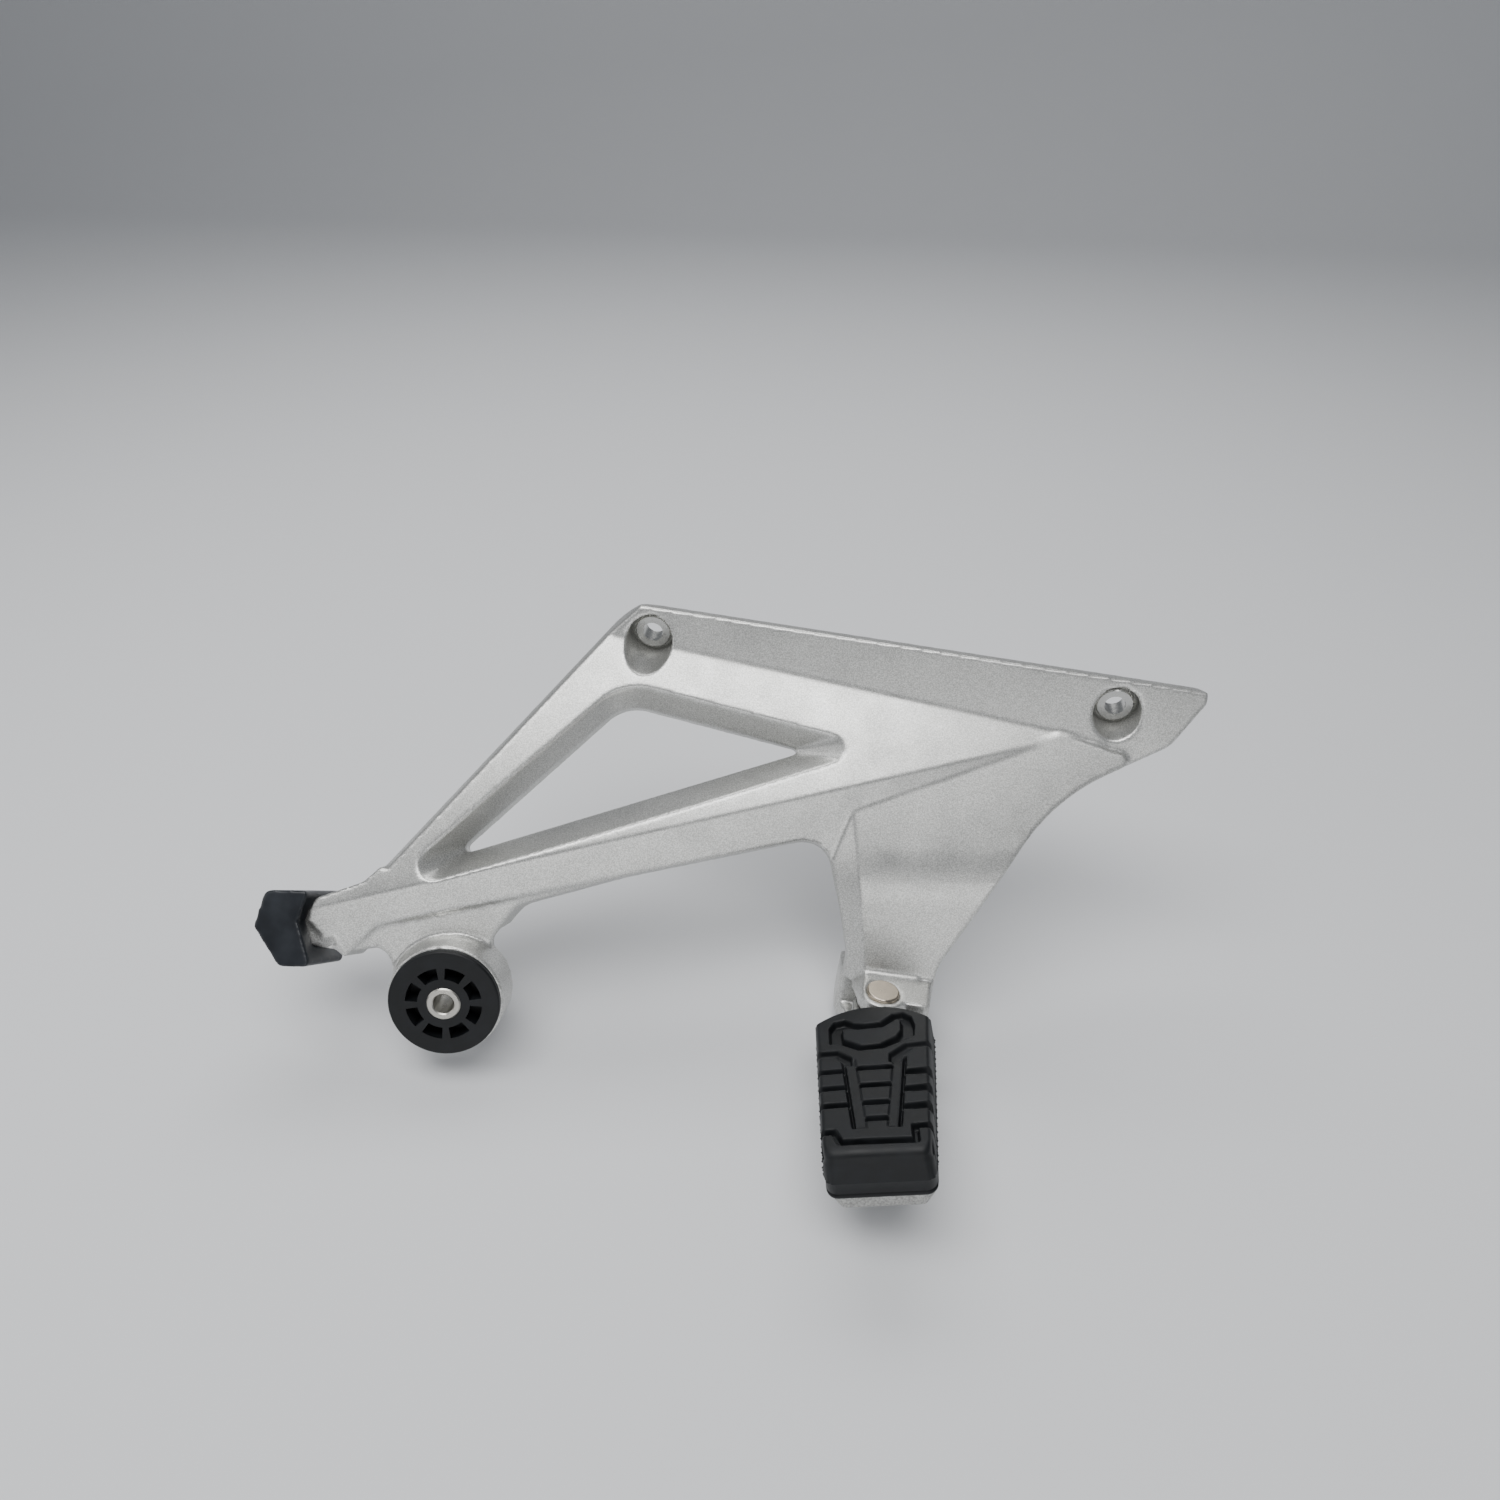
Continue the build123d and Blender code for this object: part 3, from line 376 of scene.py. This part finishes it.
def distance_to_outline(a, b, corners):
    """Signed distance from points to a closed outline, negative inside: nearest edge, sign by crossings."""
    nearest = np.full(a.shape, 1e9)
    inside = np.zeros(a.shape, bool)
    for (a0, b0), (a1, b1) in zip(corners, corners[1:] + corners[:1]):
        along = ((a - a0) * (a1 - a0) + (b - b0) * (b1 - b0)) / ((a1 - a0) ** 2 + (b1 - b0) ** 2)
        along = np.clip(along, 0.0, 1.0)
        nearest = np.minimum(nearest, np.hypot(a - a0 - along * (a1 - a0), b - b0 - along * (b1 - b0)))
        crosses = (b0 > b) != (b1 > b)
        with np.errstate(divide="ignore", invalid="ignore"):
            inside ^= crosses & (a < (a1 - a0) * (b - b0) / (b1 - b0) + a0)
    return np.where(inside, -nearest, nearest)


def sunk(distance):
    """1 inside a groove, 0 outside, with a rounded lip."""
    return ease(0.5 - distance / (2 * SLIT_EDGE))


def bar_distance(a, b, start, end, width):
    """Signed distance to a straight bar with round ends."""
    (a0, b0), (a1, b1) = start, end
    along = ((a - a0) * (a1 - a0) + (b - b0) * (b1 - b0)) / ((a1 - a0) ** 2 + (b1 - b0) ** 2)
    along = np.clip(along, 0.0, 1.0)
    return np.hypot(a - a0 - along * (a1 - a0), b - b0 - along * (b1 - b0)) - width / 2


print("tread from", ROOT, "to", ROOT + LENGTH)

# %% Pattern on the tread's top
RING = [
    (33.5, -21.8), (24.6, -22.2), (21.0, -20.2), (20.1, -16.1), (22.6, -12.6), (23.4, -8.0), (22.8, -1.3),
    (18.6, 3.6), (17.8, 7.2), (20.6, 10.6), (25.6, 11.6), (31.5, 11.0), (34.2, 6.8), (38.0, -1.0),
    (38.4, -10.6), (34.4, -17.4),
]
ISLAND = [
    (25.2, -17.4), (25.4, -13.8), (26.2, -10.5), (25.7, -1.0), (21.4, 4.6), (22.0, 6.6), (28.6, 6.4),
    (31.8, 4.6), (35.6, -2.0), (35.9, -9.8), (31.6, -16.8),
]
FUNNELS = [
    [(37.4, -40.0), (38.3, -19.0), (42.4, -13.6), (46.2, -13.2), (46.2, -15.6), (41.2, -19.6), (40.0, -40.0)],
    [(32.6, 40.0), (36.3, 8.0), (41.6, 1.4), (45.8, 1.2), (46.2, 4.8), (42.4, 6.6), (38.4, 11.0),
     (35.0, 40.0)],
]
CROSS_SLOT = [((85.0, -17.5), (85.4, 9.0), 2.2)]
SLOT_LEGS = [
    ((85.0, -17.5), (80.0, -20.0), 2.0), ((85.4, 9.0), (79.0, 8.8), 2.0),
    ((80.0, -20.0), (80.0, -30.0), 2.0), ((79.0, 8.8), (78.0, 25.0), 2.0),
]
RAIL_START, RAIL_END = 43.0, 79.5
RUNGS = (48.5, 57.7, 66.6, 74.6)
SIDE_GROOVES = (49.4, 58.2, 67.1)
RAIL_ENDS = 1.5                     # over this length a rail sinks in at each end
LEFT_HALF, RIGHT_HALF = 2.0, 1.8    # half widths of the rails
RAIL_SINK, FUNNEL_SINK = 0.7, 2.4
GAP_OFFSET, GAP_HALF, GAP_SINK = 2.6, 0.55, 2.8     # narrow groove on the outer side of each rail
SLOT_HALF = 1.0
SIDE_SHIFT = 2.2                    # the right side's grooves lie this much further out


def rail_side(a, start, end):
    """Where a rail's middle line lies at a, for a rail that runs from start to end."""
    return start + (a - RAIL_START) / (RAIL_END - RAIL_START) * (end - start)


def tread_drop(a, b):
    """How far each point of the top is sunk, in mm: the deepest of all the grooves at that point."""
    ring = sunk(np.maximum(distance_to_outline(a, b, RING), -distance_to_outline(a, b, ISLAND)))
    left, right = rail_side(a, -14.1, -10.0), rail_side(a, 4.5, 0.9)
    on_rails = ease((a - RAIL_START) / RAIL_ENDS) * ease((RAIL_END - a) / RAIL_ENDS)
    rails = sunk(np.abs(b - left) - LEFT_HALF) + sunk(np.abs(b - right) - RIGHT_HALF)
    gaps = np.zeros(a.shape)
    for middle, gap_side in ((left, -1), (right, 1)):
        gaps = np.maximum(gaps, sunk(np.abs(b - middle - gap_side * GAP_OFFSET) - GAP_HALF))
    lowest = np.maximum(RAIL_SINK * np.clip(rails, 0, 1), GAP_SINK * gaps)
    drop = np.maximum(GROOVE * ring, on_rails * lowest)
    for rung in RUNGS:
        across = np.maximum(left + LEFT_HALF - b, b - right + RIGHT_HALF)
        drop = np.maximum(drop, GROOVE * sunk(np.maximum(np.abs(a - rung) - SLOT_HALF, across)))
    for groove in SIDE_GROOVES:
        widen = 0.8 + 0.06 * np.maximum(b - 6.0, 0.0)
        outer_left = np.maximum(np.abs(a - groove) - SLOT_HALF, b - left + 2.4)
        outer_right = np.maximum(np.abs(a - groove - SIDE_SHIFT) - widen * 1.4, right + 2.2 - b)
        drop = np.maximum(drop, GROOVE * np.maximum(sunk(outer_left), sunk(outer_right)))
    for shape in FUNNELS:
        drop = np.maximum(drop, FUNNEL_SINK * sunk(distance_to_outline(a, b, shape)))
    bars = [bar_distance(a, b, start, end, width) for start, end, width in CROSS_SLOT + SLOT_LEGS]
    slot = np.minimum.reduce(bars)
    return np.maximum(drop, GROOVE * sunk(slot))


print("rungs at", RUNGS, "side grooves at", SIDE_GROOVES)

# %% [markdown]
# The moulding is a closed surface on a square grid.  Its first row follows the root's arc, its last row the
# blunt nose, and the rows between slide from one to the other.  Walls hang from the rim with a little draft.
# They step out at the ragged flash line, where the two halves of the mould meet, then in at a dark parting
# line, and end at the flat bottom.

# %% Surface of the tread
ALONG, ACROSS = 70.0, 20.0      # mm that the grid's 0 to 1 stands for, near enough for a rounded edge
CROWN = 0.5                     # the middle of the top is this much higher than its sides
FLASH = 0.7                     # longest tongue of flash
# each ring down the wall: share of the draft, height (none follows the rim), and whether it carries flash
WALL_RINGS = [
    (0.5, None, 0), (0.9, -9.0, 0), (1.0, -9.6, 1), (1.0, -9.9, 1), (0.75, -10.5, 0), (0.9, -14.6, 0),
    (0.25, -15.0, 0), (0.25, -15.4, 0), (1.0, -15.7, 0), (0.9, BOTTOM + 0.4, 0),
]


def plan_point(p, q):
    """Plan position for p from root to nose and q from side to side, both over the whole grid."""
    root_b = q * ROOT_HALF
    root_a = ROOT + ROOT_ARC - np.sqrt(ROOT_ARC**2 - root_b**2)
    corner = ROOT + LENGTH - NOSE_CUT
    nose_q = NOSE_HALF / TIP_HALF
    turned = np.clip((np.abs(q) - nose_q) / (1.0 - nose_q), 0.0, 1.0)
    nose_a = corner + NOSE_CUT * np.sqrt(1.0 - turned**2)
    a = root_a + p * (nose_a - root_a)
    shoulder = ROOT + ROOT_ARC - math.sqrt(ROOT_ARC**2 - ROOT_HALF**2)
    width = np.interp(a, [shoulder, corner], [ROOT_HALF, TIP_HALF])
    return a, q * width


def rounded_drop(gap, radius):
    """How far a quarter-round edge has fallen at a distance in from the edge."""
    missing = np.clip(radius - gap, 0.0, radius)
    return radius - np.sqrt(radius**2 - missing**2)


def tread_surface(rows=250, columns=150):
    """Top, walls and bottom of the tread.

    The top's height is the crown, less the rounding at the rim, less the deepest groove.  The walls are rings
    of the rim's points, each moved outwards by its share of the draft.  The bottom is flat, with a room that
    rises in its middle for the core's spine.
    """
    p, q = np.meshgrid(np.linspace(0, 1, rows), np.linspace(-1, 1, columns), indexing="ij")
    a, b = plan_point(p, q)
    side_gap = np.minimum(p * ALONG, (1 - np.abs(q)) * ACROSS)
    rounding = rounded_drop(side_gap, EDGE_RADIUS) + rounded_drop((1 - p) * ALONG, NOSE_RADIUS)
    middle_a = ROOT + LENGTH / 2
    shrink_b = 1.0 - DRAFT / ROOT_HALF
    shrink_a = 1.0 - DRAFT / (LENGTH / 2)
    top_a, top_b = middle_a + (a - middle_a) * shrink_a, b * shrink_b
    crown = CROWN * (1.0 - (b / ROOT_HALF) ** 2)
    top = TOP - CROWN + crown - rounding - tread_drop(top_a, top_b + OFFSET)
    order_rows = np.concatenate([np.zeros(columns), np.arange(1, rows), np.full(columns - 1, rows - 1),
                                 np.arange(rows - 2, 0, -1)]).astype(int)
    order_columns = np.concatenate([np.arange(columns), np.full(rows - 1, columns - 1),
                                    np.arange(columns - 2, -1, -1), np.zeros(rows - 2)]).astype(int)
    rim_a, rim_b, rim_s = (grid[order_rows, order_columns] for grid in (a, b, top))
    flash = FLASH * np.abs(np.sin(2.3 * rim_a) * np.sin(0.9 * rim_a + 1.0)) * np.sign(rim_b)
    rings = []
    for grow, level, ragged in WALL_RINGS:
        scale_a = shrink_a + (1 - shrink_a) * grow
        scale_b = shrink_b + (1 - shrink_b) * grow
        height = rim_s - 1.0 if level is None else np.minimum(rim_s - 1.5, level)
        ring_a = middle_a + (rim_a - middle_a) * scale_a
        rings.append(np.stack([ring_a, rim_b * scale_b + ragged * flash, height], 1))
    start, end, half, high = SPINE
    room = np.maximum(np.maximum(start - top_a, top_a - end), np.abs(top_b) - half)
    bottom = BOTTOM + high * ease(0.5 - room)
    grids = [np.stack([x.ravel() for x in (top_a, top_b, top)], 1), *rings,
             np.stack([x.ravel() for x in (top_a, top_b, bottom)], 1)]
    points = np.concatenate(grids)
    points[:, 1] += OFFSET
    faces = []
    count = rows * columns
    cell = (np.arange(rows - 1)[:, None] * columns + np.arange(columns - 1)).ravel()
    faces.append(np.stack([cell, cell + columns, cell + columns + 1, cell + 1], 1))
    rim = order_rows * columns + order_columns
    loops = [rim] + [count + i * len(rim) + np.arange(len(rim)) for i in range(len(rings))]
    under = count + len(rings) * len(rim)
    loops.append(under + rim)
    for upper, lower in zip(loops, loops[1:]):
        faces.append(np.stack([upper, np.roll(upper, -1), np.roll(lower, -1), lower], 1))
    faces.append(np.stack([cell, cell + 1, cell + columns + 1, cell + columns], 1) + under)
    return points, np.concatenate(faces)


def mesh_piece(name, points, faces, body, material):
    """Object from arrays of points in metres and faces of four corners, with its faces turned outwards."""
    mesh = bpy.data.meshes.new(name)
    mesh.from_pydata(points.tolist(), [], faces.tolist())
    cells = bmesh.new()
    cells.from_mesh(mesh)
    bmesh.ops.recalc_face_normals(cells, faces=cells.faces)
    cells.to_mesh(mesh)
    cells.free()
    mesh.materials.append(material)
    mesh.polygons.foreach_set("use_smooth", [True] * len(mesh.polygons))
    piece = bpy.data.objects.new(name, mesh)
    bpy.context.scene.collection.objects.link(piece)
    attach(piece, body)
    print(name, "points", len(points), "faces", len(faces))
    return piece


tread_points, tread_faces = tread_surface()
directions = np.array([OUT, SIDE, UP])
tread_points = np.array(PIVOT) + tread_points * MM @ directions
tread = mesh_piece("tread", tread_points, tread_faces, "peg", tread_rubber_skin)
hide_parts("peg_rubber")

# %% [markdown]
# ## Floor and light
#
# The hanger rests on a plain pale floor that curves up behind it.  A large soft light overhead and a second
# one behind make the long highlights on the upward faces.  Two dim fills, in front and at the left, keep the
# lower faces readable.

# %% Floor
def sweep_floor(height):
    """Floor and backdrop: a straight run, a quarter arc and a wall, carried along X."""
    radius, run, wall = 0.8, 1.6, 3.0
    turn = np.linspace(0, math.pi / 2, 24)
    y = np.concatenate([[-4.0], run + radius * np.sin(turn), [run + radius]])
    z = np.concatenate([[0.0], radius - radius * np.cos(turn), [wall]]) + height
    x = np.linspace(-5.0, 5.0, 2)
    points = np.array([(side, y[i], z[i]) for side in x for i in range(len(y))])
    first = np.arange(len(y) - 1)
    return points, np.stack([first, first + len(y), first + len(y) + 1, first + 1], 1)


floor_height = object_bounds()[0].z
floor_points, floor_faces = sweep_floor(floor_height)
floor_mesh = bpy.data.meshes.new("floor")
floor_mesh.from_pydata(floor_points.tolist(), [], floor_faces.tolist())
floor_mesh.polygons.foreach_set("use_smooth", [True] * len(floor_mesh.polygons))
floor_paint = new_material("matt_pale_card", "#D9DADC", 0.0, 0.8)[0]
floor_mesh.materials.append(floor_paint)
floor = bpy.data.objects.new("floor", floor_mesh)
bpy.context.scene.collection.objects.link(floor)
print("floor at", floor_height)

# %% Lights
TARGET = Vector((-0.05, -0.05, -0.05))


def soft_light(name, direction, distance, width, depth, power):
    """Rectangular lamp at a distance in a direction from the object, turned to face it."""
    lamp = bpy.data.lights.new(name, "AREA")
    lamp.shape = "RECTANGLE"
    lamp.size = width
    lamp.size_y = depth
    lamp.energy = power
    holder = bpy.data.objects.new(name, lamp)
    bpy.context.scene.collection.objects.link(holder)
    holder.location = TARGET + Vector(direction).normalized() * distance
    holder.rotation_euler = (TARGET - holder.location).to_track_quat("-Z", "Y").to_euler()
    return holder


soft_light("overhead softbox", (-0.08, -0.25, 0.95), 1.3, 1.3, 0.6, 16.0)
soft_light("back softbox", (-0.1, 0.56, 0.82), 1.4, 1.2, 0.5, 8.0)
soft_light("front fill", (0.15, -0.9, 0.15), 1.3, 1.2, 0.5, 3.5)
soft_light("left fill", (-0.9, -0.4, 0.35), 1.4, 0.8, 0.8, 3.0)
world = bpy.data.worlds.new("studio")
bpy.context.scene.world = world
world.use_nodes = True
world.node_tree.nodes["Background"].inputs["Color"].default_value = colour("#E4E8EE")
world.node_tree.nodes["Background"].inputs["Strength"].default_value = 0.32
print("lights ready")

# %% [markdown]
# ## Camera
#
# A wide lens close to the piece, 37 degrees above level and a few degrees to one side.

# %% Camera
camera_data = bpy.data.cameras.new("camera")
camera_data.lens = 24.96
camera_data.sensor_width = 36.0
camera_data.clip_start = 0.01
camera = bpy.data.objects.new("camera", camera_data)
bpy.context.scene.collection.objects.link(camera)
right = Vector((0.9905, 0.1377, 0.0)).normalized()
forward = Vector((-0.1097, 0.7888, -0.6048)).normalized()
camera_turn = Matrix((right, right.cross(forward), -forward)).transposed().to_4x4()
camera_turn.translation = Vector((-0.0041, -0.3883, 0.2467))
camera.matrix_world = camera_turn
bpy.context.scene.camera = camera
